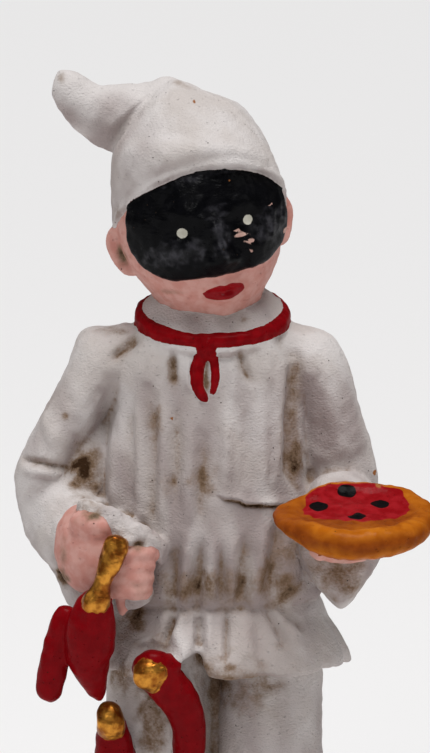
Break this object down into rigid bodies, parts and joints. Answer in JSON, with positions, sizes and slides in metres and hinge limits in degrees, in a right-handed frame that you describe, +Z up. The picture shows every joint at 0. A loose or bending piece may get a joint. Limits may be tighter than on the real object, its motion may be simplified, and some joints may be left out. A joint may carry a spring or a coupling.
{
  "type": "commedia dell'arte statuette",
  "caption": "Hand-painted cast plaster statuette of a masked commedia dell'arte figure in a white smock and cap, holding red horns and a pizza, on a low oval base.",
  "frame": {"origin": "centre of the base's flat underside", "axes": "+Z up the figure, -Y the way it faces, +X towards its left hand with the pizza"},
  "size_m": [0.0657, 0.0554, 0.1497],
  "materials": {
    "painted_plaster": "hand-painted matt plaster"
  },
  "bodies": {
    "root": {"commedia_figure": "painted_plaster"}
  },
  "joints": []
}
